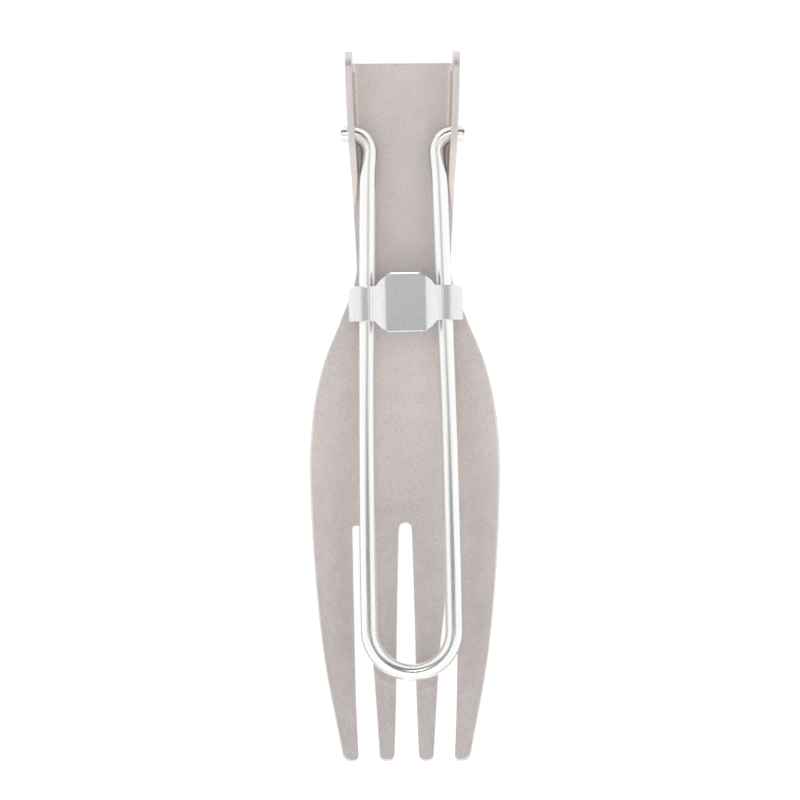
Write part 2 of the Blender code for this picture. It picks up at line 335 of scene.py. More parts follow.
class Signal:
    """A number worked out by a shader, on which Python's arithmetic adds Math nodes."""

    def __init__(self, shader: "Shader", socket: bpy.types.NodeSocket | None) -> None:
        """Wrap a socket.

        Args:
            shader: The shader that the socket belongs to.
            socket: The output socket that carries the number, or None for a node that has none.
        """
        self.shader = shader
        self.socket = socket

    def _math(self, operation: str, *operands: "Signal | float") -> "Signal":
        """Add a Math node.

        Args:
            operation: The node's operation.
            operands: Its values, in order.

        Returns:
            The node's result.
        """
        return self.shader.node("ShaderNodeMath", {"operation": operation}, dict(enumerate(operands)))

    def __add__(self, other: "Signal | float") -> "Signal":
        """Add."""
        return self._math("ADD", self, other)

    def __radd__(self, other: float) -> "Signal":
        """Add, from the right."""
        return self._math("ADD", other, self)

    def __sub__(self, other: "Signal | float") -> "Signal":
        """Subtract."""
        return self._math("SUBTRACT", self, other)

    def __rsub__(self, other: float) -> "Signal":
        """Subtract, from the right."""
        return self._math("SUBTRACT", other, self)

    def __mul__(self, other: "Signal | float") -> "Signal":
        """Multiply."""
        return self._math("MULTIPLY", self, other)

    def __rmul__(self, other: float) -> "Signal":
        """Multiply, from the right."""
        return self._math("MULTIPLY", other, self)

    def rise(self, start: float, end: float) -> "Signal":
        """Rise smoothly from 0 to 1.

        Args:
            start: The value where the rise begins.
            end: The value where it is complete.

        Returns:
            The risen number.
        """
        settings = {"interpolation_type": "SMOOTHSTEP"}
        return self.shader.node("ShaderNodeMapRange", settings, {0: self, 1: start, 2: end, 3: 0.0, 4: 1.0})


class Shader:
    """A node tree that is built node by node."""

    def __init__(self, tree: bpy.types.NodeTree) -> None:
        """Take an empty tree.

        Args:
            tree: The material's or world's node tree.
        """
        self.tree = tree
        tree.nodes.clear()

    def node(self, kind: str, settings: dict[str, object], inputs: dict[int | str, object],
             output: int | str = 0) -> Signal:
        """Add one node.

        Args:
            kind: The node's type.
            settings: Its properties, set before anything is linked.
            inputs: Values or links of its sockets, by number or name.
            output: The output that is wanted.

        Returns:
            That output.
        """
        node = self.tree.nodes.new(kind)
        for name, value in settings.items():
            setattr(node, name, value)
        for name, value in inputs.items():
            if isinstance(value, Signal):
                self.tree.links.new(value.socket, node.inputs[name])
            else:
                node.inputs[name].default_value = value
        return Signal(self, node.outputs[output] if node.outputs else None)

    def place(self) -> Signal:
        """Give the object coordinates."""
        return self.node("ShaderNodeTexCoord", {}, {}, "Object")

    def stored(self, name: str, output: str = "Fac") -> Signal:
        """Read a value stored on the mesh.

        Args:
            name: The attribute's name.
            output: Fac for a number, Vector for a vector.

        Returns:
            The stored value.
        """
        return self.node("ShaderNodeAttribute", {"attribute_name": name}, {}, output)

    def stretched(self, vector: Signal, scale: tuple[float, float, float]) -> Signal:
        """Stretch coordinates by direction.

        Args:
            vector: The coordinates.
            scale: The scale in each direction.

        Returns:
            The stretched coordinates.
        """
        return self.node("ShaderNodeMapping", {}, {"Vector": vector, "Scale": scale})

    def noise(self, vector: Signal, grain: float, detail: float = 2.0, seed: float = 0.0) -> Signal:
        """Make a soft random pattern.

        Args:
            vector: The coordinates it is read at.
            grain: The size of its grain, in the coordinates' unit.
            detail: How many finer layers it has.
            seed: Which of many such patterns it is.

        Returns:
            A number around 0.5.
        """
        settings = {"noise_dimensions": "4D"}
        inputs = {"Vector": vector, "W": seed, "Scale": 1.0 / grain, "Detail": detail, "Roughness": 0.6}
        return self.node("ShaderNodeTexNoise", settings, inputs)

    def mixed(self, factor: Signal, low: Signal | Colour, high: Colour) -> Signal:
        """Mix two colours.

        Args:
            factor: 0 for the first colour, 1 for the second.
            low: The first colour.
            high: The second colour.

        Returns:
            The mixed colour.
        """
        first = low if isinstance(low, Signal) else (*low, 1.0)
        return self.node("ShaderNodeMix", {"data_type": "RGBA"}, {0: factor, 6: first, 7: (*high, 1.0)}, 2)

    def bump(self, height: Signal, depth: float) -> Signal:
        """Turn a height pattern into a surface normal.

        Args:
            height: The pattern.
            depth: The real depth that a step of 1 stands for.

        Returns:
            The bent normal.
        """
        return self.node("ShaderNodeBump", {}, {"Strength": 1.0, "Distance": depth, "Height": height})

    def metal(self, colour: Signal, roughness: Signal, normal: Signal) -> None:
        """Finish the tree as bare metal.

        Args:
            colour: Its colour.
            roughness: Its roughness.
            normal: Its bent normal.
        """
        inputs = {"Base Color": colour, "Metallic": 1.0, "Roughness": roughness, "Normal": normal}
        surface = self.node("ShaderNodeBsdfPrincipled", {}, inputs)
        self.node("ShaderNodeOutputMaterial", {}, {"Surface": surface})


def scaled(colour: Colour, factor: float) -> Colour:
    """Make a colour lighter or darker, no lighter than white."""
    red, green, blue = (min(channel * factor, 1.0) for channel in colour)
    return red, green, blue


def slot_colour(name: str) -> Colour:
    """Read the colour of one of the record's finishes.

    Args:
        name: The finish's slot.

    Returns:
        Its colour.
    """
    for finish in frame["record"]["materials"]:
        if finish["slot"] == name:
            red, green, blue = finish["base_color"]
            return red, green, blue
    raise LookupError(f"the record has no finish named {name}")


def new_finish(name: str) -> tuple[bpy.types.Material, Shader]:
    """Start a material.

    Args:
        name: Its name.

    Returns:
        The material and its empty shader.
    """
    material = bpy.data.materials.new(name)
    material.use_nodes = True
    return material, Shader(material.node_tree)


@dataclass(frozen=True)
class BlastedTitanium:
    """Bead-blasted bare titanium: a fine even pitting, soft cloudy tones, and edges worn by rubbing whose
    colour is lightened, partly as wear and partly as a painted highlight.
    """

    slot: str = "blasted_sheet"
    bead: float = 0.30 * MM
    bead_depth: float = 0.016 * MM
    cloud: float = 2.6 * MM
    roughness: float = 0.54
    unevenness: float = 0.10
    level: float = 1.34
    tone: float = 0.16
    # Colour level of the edges: wear from rubbing plus a painted highlight.
    rim_wear_and_highlight_level: float = 1.35
    rim_share: float = 0.25
    rim_polish: float = 0.10

    def make(self) -> bpy.types.Material:
        """Make the material.

        Returns:
            The finished material.
        """
        material, shader = new_finish("blasted_titanium")
        place = shader.place()
        colour = slot_colour(self.slot)
        pits = shader.noise(place, self.bead, 3.0)
        clouds = shader.noise(place, self.cloud, 4.0, 3.0)
        rub_and_highlight = shader.stored(Blank.RIM)
        tone = clouds * 0.3 + pits * 0.7
        low = scaled(colour, self.level * (1.0 - self.tone))
        high = scaled(colour, self.level * (1.0 + self.tone))
        base = shader.mixed(tone.rise(0.2, 0.8), low, high)
        # Edges mixed towards a lighter colour: wear from rubbing plus a painted highlight.
        edge = shader.mixed(rub_and_highlight * self.rim_share, base, scaled(colour, self.rim_wear_and_highlight_level))
        roughness = self.roughness + (clouds - 0.5) * self.unevenness - rub_and_highlight * self.rim_polish
        shader.metal(edge, roughness, shader.bump(pits, self.bead_depth))
        return material


@dataclass(frozen=True)
class PolishedWire:
    """Drawn round wire, polished bright, with faint lines left along it by the die."""

    slot: str = "polished_wire"
    line: float = 0.09 * MM
    line_length: float = 9.0 * MM
    line_depth: float = 0.0007 * MM
    line_unevenness: float = 0.05
    worn_patch: float = 2.5 * MM
    wear: float = 0.08
    roughness: float = 0.23
    level: float = 1.20
    tone: float = 0.05

    def make(self) -> bpy.types.Material:
        """Make the material.

        Returns:
            The finished material.
        """
        material, shader = new_finish("polished_wire")
        along_wire = (1.0, 1.0, self.line / self.line_length)
        drawn = shader.stretched(shader.stored(Wire.DRAWN, "Vector"), along_wire)
        colour = slot_colour(self.slot)
        lines = shader.noise(drawn, self.line, 3.0)
        worn = shader.noise(shader.place(), self.worn_patch, 4.0, 7.0)
        low = scaled(colour, self.level * (1.0 - self.tone))
        high = scaled(colour, self.level * (1.0 + self.tone))
        base = shader.mixed(lines.rise(0.3, 0.7), low, high)
        roughness = self.roughness + (lines - 0.5) * self.line_unevenness + (worn - 0.5) * self.wear
        shader.metal(base, roughness, shader.bump(lines, self.line_depth))
        return material


@dataclass(frozen=True)
class StampedStainless:
    """Satin stainless strip: fine brushing along the band, small dull spots, and rolled edges made bright
    partly by wear and partly by a painted highlight.
    """

    slot: str = "stamped_clip"
    brush: float = 0.05 * MM
    brush_length: float = 2.2 * MM
    brush_depth: float = 0.0002 * MM
    spot: float = 0.35 * MM
    roughness: float = 0.23
    unevenness: float = 0.05
    level: float = 1.21
    tone: float = 0.08
    # Colour level of the rolled edges: wear from rubbing plus a painted highlight.
    rim_wear_and_highlight_level: float = 1.30
    rim_share: float = 0.5
    rim_polish: float = 0.08

    def make(self) -> bpy.types.Material:
        """Make the material.

        Returns:
            The finished material.
        """
        material, shader = new_finish("stamped_stainless")
        place = shader.place()
        colour = slot_colour(self.slot)
        grain = shader.stretched(place, (self.brush / self.brush_length, 1.0, 1.0))
        lines = shader.noise(grain, self.brush, 3.0)
        spots = shader.noise(place, self.spot, 4.0, 5.0)
        rub_and_highlight = shader.stored(Blank.RIM)
        tone = lines * 0.4 + spots * 0.6
        low = scaled(colour, self.level - self.tone)
        high = scaled(colour, self.level + self.tone)
        base = shader.mixed(tone.rise(0.3, 0.7), low, high)
        # Rolled edges mixed towards a lighter colour: wear from rubbing plus a painted highlight.
        edge = shader.mixed(rub_and_highlight * self.rim_share, base, scaled(colour, self.rim_wear_and_highlight_level))
        roughness = self.roughness + (spots - 0.5) * self.unevenness - rub_and_highlight * self.rim_polish
        height = lines * 0.5 + spots * 0.5
        shader.metal(edge, roughness, shader.bump(height, self.brush_depth))
        return material


# --------------------------------------------------------------------------- pieces


def make_piece(name: str, bm: bmesh.types.BMesh, material: bpy.types.Material) -> bpy.types.Object:
    """Turn a finished bmesh into a smooth-shaded object at the origin.

    Args:
        name: The piece's name.
        bm: Its mesh, in place.
        material: Its finish.

    Returns:
        The linked object.
    """
    mesh = bpy.data.meshes.new(name)
    bm.to_mesh(mesh)
    bm.free()
    mesh.materials.append(material)
    mesh.shade_smooth()
    piece = bpy.data.objects.new(name, mesh)
    bpy.context.scene.collection.objects.link(piece)
    return piece


def flatten_shading(piece: bpy.types.Object) -> None:
    """Let the large faces of a pressed piece set the shading, so that its edges stay crisp."""
    weigh = piece.modifiers.new("even_shading", "WEIGHTED_NORMAL")
    weigh.mode = "FACE_AREA"
    weigh.weight = 80


@dataclass
class Pivot:
    """Where the handle turns, and how far along from there the tines end, read from the frame."""

    y: float
    z: float
    tips: float

    @classmethod
    def from_frame(cls) -> "Pivot":
        """Read the hinge of the handle and the reach of the tines.

        Returns:
            The pivot.
        """
        joint = next(j for j in frame["record"]["behaviour"]["joints"] if j["name"] == "handle_fold")
        _, y, z = joint["pos_m"]
        low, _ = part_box("fork_head")
        return cls(y, z, y - low.y)


@dataclass
class ForkHead:
    """The pressed head: a dished sheet with four tines and two ears turned up beside its stem."""

    pivot: Pivot
    sheet: float = 1.0 * MM
    ear_tip: float = -12.1 * MM
    stem_end: float = -10.45 * MM
    neck: float = 15.4 * MM
    drop_start: float = 20.0 * MM
    belly: float = 54.0 * MM
    belly_drop: float = 3.2 * MM
    tip_rise: float = 5.4 * MM
    dish_depth: float = 1.9 * MM
    dish_at_tips: float = 0.7 * MM
    dish_full: float = 46.0 * MM
    dish_fades: float = 50.0 * MM
    bend_radius: float = 1.1 * MM
    ear_angle: float = math.radians(88.0)
    ear_wall: float = 4.6 * MM
    ear_nose: float = 2.5 * MM
    wall_fall: Point = (1.0 * MM, 10.0 * MM)
    bend_fade: Point = (4.0 * MM, 12.3 * MM)
    pivot_height: float = 2.95 * MM
    bore: float = 1.55 * MM
    notch: Point = (7.6 * MM, -9.6 * MM)
    notch_radius: float = 0.42 * MM
    notch_opens: float = math.radians(25.0)
    ear_lift: float = 0.2 * MM
    ear_root: float = 0.3 * MM
    ear_toe: float = 0.35 * MM
    upper_rounding: float = 0.22 * MM
    lower_rounding: float = 0.15 * MM
    cell: float = 0.7 * MM
    ear_step: float = 0.5 * MM
    bend_cell: float = 0.16 * MM
    bend_band: Point = (4.9 * MM, 8.7 * MM)
    slot_top: float = 57.4 * MM
    tip_length: float = 2.4 * MM
    blade_corner: float = 1.35 * MM
    blade_inner_corner: float = 0.6 * MM
    tine_corner: float = 0.85 * MM
    slot_corner: float = 0.5 * MM
    slot_run_out: float = 1.2 * MM
    centre_slot_corner: float = 0.93 * MM
    head_outline: Stations = (
        (15.4 * MM, 7.06 * MM), (21.0 * MM, 7.06 * MM), (27.2 * MM, 9.26 * MM), (33.1 * MM, 11.6 * MM),
        (39.0 * MM, 13.05 * MM), (46.3 * MM, 13.78 * MM), (53.0 * MM, 13.78 * MM), (65.4 * MM, 13.15 * MM),
        (77.2 * MM, 11.9 * MM), (89.0 * MM, 9.7 * MM), (93.0 * MM, 8.9 * MM),
    )
    ear_outline: Stations = (
        (-12.1 * MM, 8.5 * MM), (-2.2 * MM, 8.15 * MM), (5.15 * MM, 7.7 * MM), (15.4 * MM, 7.06 * MM),
    )
    centre_slot: Stations = (
        (57.0 * MM, 0.95 * MM), (71.3 * MM, 1.32 * MM), (83.1 * MM, 1.52 * MM), (95.0 * MM, 1.95 * MM),
    )
    slot_inner: Stations = (
        (57.4 * MM, 6.25 * MM), (68.7 * MM, 5.74 * MM), (76.0 * MM, 4.95 * MM), (95.0 * MM, 3.7 * MM),
    )
    slot_outer: Stations = (
        (57.4 * MM, 7.85 * MM), (71.0 * MM, 7.65 * MM), (83.0 * MM, 7.42 * MM), (95.0 * MM, 6.9 * MM),
    )

    @property
    def bend_length(self) -> float:
        """Length of sheet in an ear's bend."""
        return self.bend_radius * self.ear_angle

    def middle_height(self, along: float) -> float:
        """Give the height of the sheet's centre line over the stem.

        Args:
            along: Distance from the pivot.

        Returns:
            The height, negative in the hollow.
        """
        if along <= self.belly:
            turn = math.pi * min(max((along - self.drop_start) / (self.belly - self.drop_start), 0.0), 1.0)
            return -self.belly_drop * (0.5 - 0.5 * math.cos(turn))
        rise = (along - self.belly) / (self.pivot.tips - self.belly)
        return -self.belly_drop + self.tip_rise * rise ** 2

    def dish(self, along: float) -> float:
        """Give how far the edges of the head stand above its centre line."""
        grow = self.dish_depth * smoothstep(self.drop_start, self.dish_full, along)
        fade = (self.dish_depth - self.dish_at_tips) * smoothstep(self.dish_fades, self.pivot.tips, along)
        return grow - fade

    def stem(self, along: float) -> tuple[float, float, float, float]:
        """Give the stem's half section.

        Args:
            along: Distance from the pivot.

        Returns:
            Its flat half width, and its bend's radius, angle and straight wall.
        """
        fade = 1.0 - smoothstep(*self.bend_fade, along)
        angle = self.ear_angle * max(fade, 0.001)
        radius = self.bend_length / angle
        wall = self.ear_wall * (1.0 - smoothstep(*self.wall_fall, along))
        edge = curve_value(self.ear_outline, along) - self.sheet / 2 * math.sin(angle)
        flat = edge - radius * math.sin(angle) - wall * math.cos(angle)
        return flat, radius, angle, wall

    def half_width(self, along: float) -> float:
        """Give the blank's half width, with the ears unfolded."""
        if along >= self.neck:
            return curve_value(self.head_outline, along)
        flat, _, _, wall = self.stem(along)
        return flat + self.bend_length + wall

    def surface(self, across: float, along: float) -> Vector:
        """Place a point of the middle of the sheet.

        Args:
            across: Distance from the centre line on the blank.
            along: Distance from the pivot on the blank.

        Returns:
            Its place in the frame.
        """
        reach = abs(across)
        if along >= self.neck:
            share = reach / curve_value(self.head_outline, along)
            x = reach
            z = self.middle_height(along) + self.dish(along) * share ** 2
        else:
            flat, radius, angle, _ = self.stem(along)
            turned = min(max(reach - flat, 0.0), self.bend_length) / radius
            climb = max(reach - flat - self.bend_length, 0.0)
            x = min(reach, flat) + radius * math.sin(turned) + climb * math.cos(angle)
            z = radius * (1.0 - math.cos(turned)) + climb * math.sin(angle)
        return Vector((math.copysign(x, across), self.pivot.y - along, self.pivot.z - self.pivot_height + z))

    def bore_centre(self) -> Point:
        """Find the middle of an ear's hole on the blank."""
        flat, radius, angle, _ = self.stem(0.0)
        climb = (self.pivot_height - radius * (1.0 - math.cos(angle))) / math.sin(angle)
        return flat + self.bend_length + climb, 0.0

    def ear_outline_half(self) -> list[Point]:
        """Outline the stem's end, a notch and an ear, from the centre line out to the pivot.

        Returns:
            Points on the right half, ending beside the ear's hole.
        """
        x, along = self.notch
        low = [self.stem(s)[0] + self.bend_length + self.ear_lift for s in (along, self.ear_tip)]
        top = self.half_width(self.ear_tip)
        start = -math.pi / 2 - self.notch_opens
        points = [(x + self.notch_radius * math.cos(start), self.stem_end)]
        points += arc((x, along), self.notch_radius, start, -1.5 * math.pi)
        root = (low[0], along + self.notch_radius)
        toe = (low[1], self.ear_tip)
        nose = (top, self.ear_tip)
        back = (top, self.ear_tip + self.ear_nose * 2)
        points += round_corner(points[-1], root, toe, self.ear_root)
        points += round_corner(root, toe, nose, self.ear_toe)
        points += round_corner(toe, nose, back, self.ear_nose)
        rest = steps(self.ear_tip + self.ear_nose, 0.0, self.ear_step)[1:]
        return points + [(self.half_width(s), s) for s in rest]

    def head_outline_half(self) -> list[Point]:
        """Outline an outer tine, the slots and an inner tine, from the pivot to the centre line.

        Returns:
            Points on the right half, ending at the top of the middle slot.
        """
        tips = self.pivot.tips
        near = tips - self.tip_length
        points = [(self.half_width(s), s) for s in steps(0.0, self.neck, self.ear_step)[1:]]
        points += [(self.half_width(s), s) for s in steps(self.neck, near, self.cell)[1:]]
        blade = ((curve_value(self.head_outline, tips), tips), (curve_value(self.slot_outer, tips), tips))
        tine = ((curve_value(self.slot_inner, tips), tips), (curve_value(self.centre_slot, tips), tips))
        points += round_corner(points[-1], blade[0], blade[1], self.blade_corner)
        points += self.tip_and_wall(blade[0], blade[1], self.slot_outer, self.blade_inner_corner)
        walls = (self.slot_outer, self.slot_inner)
        top = [(curve_value(wall, self.slot_top), self.slot_top) for wall in walls]
        points += round_corner((top[0][0], near), top[0], top[1], self.slot_corner)
        points += round_corner(top[0], top[1], (top[1][0], near), self.slot_corner)
        points += reversed(self.tip_and_wall(tine[1], tine[0], self.slot_inner, self.tine_corner))
        points += self.tip_and_wall(tine[0], tine[1], self.centre_slot, self.tine_corner)
        end = (self.centre_slot[0][1], self.centre_slot[0][0])
        points += round_corner((end[0], near), end, (0.0, end[1]), self.centre_slot_corner)
        return points + [(0.0, end[1])]

    def tip_and_wall(self, far: Point, corner: Point, wall: Stations, radius: float) -> list[Point]:
        """Outline the corner of a tine's tip and the wall of the slot beside it, away from the tip.

        Args:
            far: The other corner of that tine's tip.
            corner: The sharp corner.
            wall: The wall's stations.
            radius: The corner's radius.

        Returns:
            The points, from the tip to just short of the slot's top.
        """
        near = corner[1] - self.tip_length
        inside = (curve_value(wall, near), near)
        line = [(curve_value(wall, s), s) for s in steps(near, wall[0][0] + self.slot_run_out, self.cell)]
        return round_corner(far, corner, inside, radius) + line

    def cut_blank(self) -> Blank:
        """Cut out the flat blank, with its edges rounded.

        Returns:
            The blank, not yet pressed.
        """
        centre = self.bore_centre()
        behind = self.ear_outline_half() + arc(centre, self.bore, 0.0, -math.pi)
        ahead = arc(centre, self.bore, math.pi, 0.0)
        ahead += [(self.half_width(0.0), 0.0)] + self.head_outline_half()
        blank = Blank(self.sheet)
        blank.cut_out([behind + mirrored(behind), ahead + mirrored(ahead[:-1])])
        blank.round_edges(self.upper_rounding, 3, True)
        blank.round_edges(self.lower_rounding, 2, False)
        return blank

    def build(self, material: bpy.types.Material) -> bpy.types.Object:
        """Make the head.

        Args:
            material: Its finish.

        Returns:
            The finished piece.
        """
        blank = self.cut_blank()
        wide = max(width for _, width in self.head_outline)
        blank.score(Axis.ALONG, steps(self.ear_tip + self.cell, self.pivot.tips - self.cell, self.cell))
        bends = steps(*self.bend_band, self.bend_cell)
        for side in Side:
            blank.score(Axis.ACROSS, [side.value * place for place in bends], self.neck)
        blank.score(Axis.ACROSS, steps(-wide, wide, self.cell)[1:-1])
        blank.mark_rim()
        blank.press(self.surface)
        head = make_piece("pressed_fork_head", blank.mesh, material)
        flatten_shading(head)
        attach(head, "head")
        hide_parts("fork_head")
        return head


@dataclass
class Wire:
    """The handle: one round wire, whose turned-out ends are the pivot pins."""

    DRAWN = "drawn"

    pivot: Pivot
    radius: float = 1.25 * MM
    pin_end: float = 9.26 * MM
    pin_bend: float = 2.6 * MM
    lean: float = 0.012
    lean_from: float = 2.1 * MM
    bail_radius: float = 6.2 * MM
    bail_start: float = 72.65 * MM
    sides: int = 40
    end_rounding: float = 0.28 * MM
    spread: Stations = (
        (2.6 * MM, 4.86 * MM), (6.0 * MM, 5.12 * MM), (18.4 * MM, 5.42 * MM), (39.7 * MM, 5.95 * MM),
        (61.0 * MM, 6.18 * MM), (72.65 * MM, 6.2 * MM),
    )

    def half_route(self) -> list[Point]:
        """Trace the wire's middle from a pin's end to the middle of the bail.

        Returns:
            (across, along) points.
        """
        bend = self.pin_bend
        start = self.spread[0][1] + bend
        points = [(x, 0.0) for x in steps(self.pin_end, start, 0.6 * MM)[:-1]]
        points += arc((start, bend), bend, -math.pi / 2, -math.pi)
        points += [(curve_value(self.spread, s), s) for s in steps(bend, self.bail_start, 1.2 * MM)[1:-1]]
        return points + arc((0.0, self.bail_start), self.bail_radius, 0.0, math.pi / 2)

    def route(self) -> list[Vector]:
        """Place the whole wire's middle in the frame, one pin's end to the other.

        Returns:
            The points along it.
        """
        half = self.half_route()
        points = []
        for x, along in half + mirrored(half[:-1]):
            lean = self.lean * max(along - self.lean_from, 0.0)
            points.append(Vector((x + lean, self.pivot.y - along, self.pivot.z)))
        return points

    def stations(self) -> list[Matrix]:
        """Set a frame across the wire at every point of its route.

        Returns:
            The frames, each with its own Z along the wire.
        """
        route = self.route()
        up = Vector((0.0, 0.0, 1.0))
        frames = []
        for k, point in enumerate(route):
            before = route[max(k - 1, 0)]
            after = route[min(k + 1, len(route) - 1)]
            along = (after - before).normalized()
            turn = Matrix((up.cross(along), up, along)).transposed().to_4x4()
            frames.append(Matrix.Translation(point) @ turn)
        return frames

    def sweep(self) -> bmesh.types.BMesh:
        """Extrude a ring along the route, and note for each point its place on the drawn wire.

        Returns:
            The wire's mesh, closed at both ends.
        """
        frames = self.stations()
        bm = bmesh.new()
        layer = bm.verts.layers.float_vector.new(self.DRAWN)
        ring = bmesh.ops.create_circle(bm, cap_ends=True, radius=self.radius, segments=self.sides)["verts"]
        edges = list({edge for vert in ring for edge in vert.link_edges})
        for vert in ring:
            vert[layer] = vert.co
        bmesh.ops.transform(bm, matrix=frames[0], verts=ring)
        length = 0.0
        for last, this in zip(frames, frames[1:]):
            length += (this.translation - last.translation).length
            geom = bmesh.ops.extrude_edge_only(bm, edges=edges)["geom"]
            verts = [item for item in geom if isinstance(item, bmesh.types.BMVert)]
            edges = [item for item in geom if isinstance(item, bmesh.types.BMEdge)]
            back = last.inverted()
            for vert in verts:
                flat = back @ vert.co
                vert[layer] = Vector((flat.x, flat.y, length))
            bmesh.ops.transform(bm, matrix=this @ back, verts=verts)
        bmesh.ops.contextual_create(bm, geom=edges)
        bmesh.ops.recalc_face_normals(bm, faces=bm.faces)
        return bm

    def build(self, material: bpy.types.Material) -> bpy.types.Object:
        """Make the handle.

        Args:
            material: Its finish.

        Returns:
            The finished piece.
        """
        bm = self.sweep()
        caps = {face for face in bm.faces if len(face.verts) == self.sides}
        ends = [edge for edge in bm.edges if not caps.isdisjoint(edge.link_faces)]
        bmesh.ops.bevel(bm, geom=ends, offset=self.end_rounding, offset_type="OFFSET", segments=3,
                        profile=0.5, affect="EDGES", clamp_overlap=True, material=-1)
        handle = make_piece("bent_wire_handle", bm, material)
        flatten_shading(handle)
        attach(handle, "handle")
        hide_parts("wire_handle")
        return handle


@dataclass
class SlideLock:
    """The stamped clip: a raised eight-sided thumb pad between two loops that ride on the wires."""

    wire: Wire
    sheet: float = 0.6 * MM
    at: float = 24.77 * MM
    loop_centre: float = 6.2 * MM
    loop_radius: float = 1.85 * MM
    lip_end: float = 4.6 * MM
    crease: float = 5.05 * MM
    pad_half: float = 3.3 * MM
    pad_height: float = 4.05 * MM
    pad_bend: float = 1.1 * MM
    pad_top: Point = (2.2 * MM, 4.5 * MM)
    pad_root_top: float = 4.15 * MM
    pad_root_low: float = 4.4 * MM
    pad_low: Point = (2.65 * MM, -4.2 * MM)
    band_half: float = 2.57 * MM
    taper: float = 0.6 * MM
    taper_run: Point = (1.2 * MM, 2.6 * MM)
    pad_corner: float = 0.35 * MM
    root_corner: float = 0.25 * MM
    lip_corner: float = 0.4 * MM
    rolled_edge: float = 0.26 * MM
    lower_edge: float = 0.08 * MM
    cell: float = 0.35 * MM

    def section(self) -> Section:
        """Draw half of the cross-section along the middle of the sheet, from the pad out.

        Returns:
            The section.
        """
        loop = self.loop_radius
        rise = math.atan2(self.pad_height - loop, self.crease - self.pad_half)
        bend = self.pad_bend
        shift = bend * math.tan(rise / 2)
        points = [(0.0, self.pad_height)]
        points += arc((self.pad_half - shift, self.pad_height - bend), bend, math.pi / 2, math.pi / 2 - rise)
        points += arc((self.crease + shift, loop + bend), bend, -math.pi / 2 - rise, -math.pi / 2)
        points += arc((self.loop_centre, 0.0), loop, math.pi / 2, -math.pi / 2)
        return Section(points + [(self.lip_end, -loop)])

    def outline(self, section: Section) -> list[Point]:
        """Outline the flat blank.

        Args:
            section: The section that the blank is bent to.

        Returns:
            (length of sheet across, distance towards the stem) points.
        """
        top = (section.length_at(self.pad_top[0]), self.pad_top[1])
        root_top = (section.length_at(self.pad_root_top), self.band_half)
        root_low = (section.length_at(self.pad_root_low), -self.band_half)
        low = (section.length_at(self.pad_low[0]), self.pad_low[1])
        loop_start = section.length_at(self.loop_centre)
        narrow = self.band_half - self.taper
        end = section.lengths[-1]
        half = round_corner((0.0, top[1]), top, root_top, self.pad_corner)
        half += round_corner(top, root_top, (loop_start, self.band_half), self.root_corner)
        half += [(loop_start + self.taper_run[0], self.band_half), (loop_start + self.taper_run[1], narrow)]
        half += round_corner((loop_start, narrow), (end, narrow), (end, 0.0), self.lip_corner)
        foot = (end, -self.band_half)
        half += round_corner((end, 0.0), foot, (loop_start, -self.band_half), self.lip_corner)
        half += round_corner((loop_start, -self.band_half), root_low, low, self.root_corner)
        half += round_corner(root_low, low, (0.0, low[1]), self.pad_corner)
        return half + mirrored(half)

    def build(self, material: bpy.types.Material) -> bpy.types.Object:
        """Make the clip.

        Args:
            material: Its finish.

        Returns:
            The finished piece.
        """
        section = self.section()
        blank = Blank(self.sheet)
        blank.cut_out([self.outline(section)])
        blank.round_edges(self.rolled_edge, 4, True)
        blank.round_edges(self.lower_edge, 2, False)
        end = section.lengths[-1]
        for side in Side:
            blank.score(Axis.ACROSS, [side.value * length for length in section.lengths[1:-1]])
        blank.score(Axis.ACROSS, steps(-end, end, self.cell)[1:-1])
        blank.score(Axis.ALONG, steps(self.pad_low[1], self.pad_top[1], self.cell)[1:-1])
        blank.mark_rim()
        sideways = self.wire.lean * (self.at - self.wire.lean_from)
        turn = Matrix.Rotation(math.atan(self.wire.lean), 3, "Z")
        centre = Vector((sideways, self.wire.pivot.y - self.at, self.wire.pivot.z))

        def form(across: float, along: float) -> Vector:
            """Give the place, on the wires, of a point of the bent strip."""
            point = section.at(across)
            return centre + turn @ Vector((point.x, along, point.y))

        blank.press(form)
        clip = make_piece("stamped_slide_lock", blank.mesh, material)
        flatten_shading(clip)
        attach(clip, "lock")
        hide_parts("slide_lock")
        return clip


# --------------------------------------------------------------------------- studio


@dataclass(frozen=True)
class Card:
    """A soft-edged card over the table.

    Its tilt is from straight up towards the stem.  It is full out to one angle from its middle and
    gone at the other.  All three are in degrees.
    """

    tilt: float
    full: float
    gone: float
    level: float


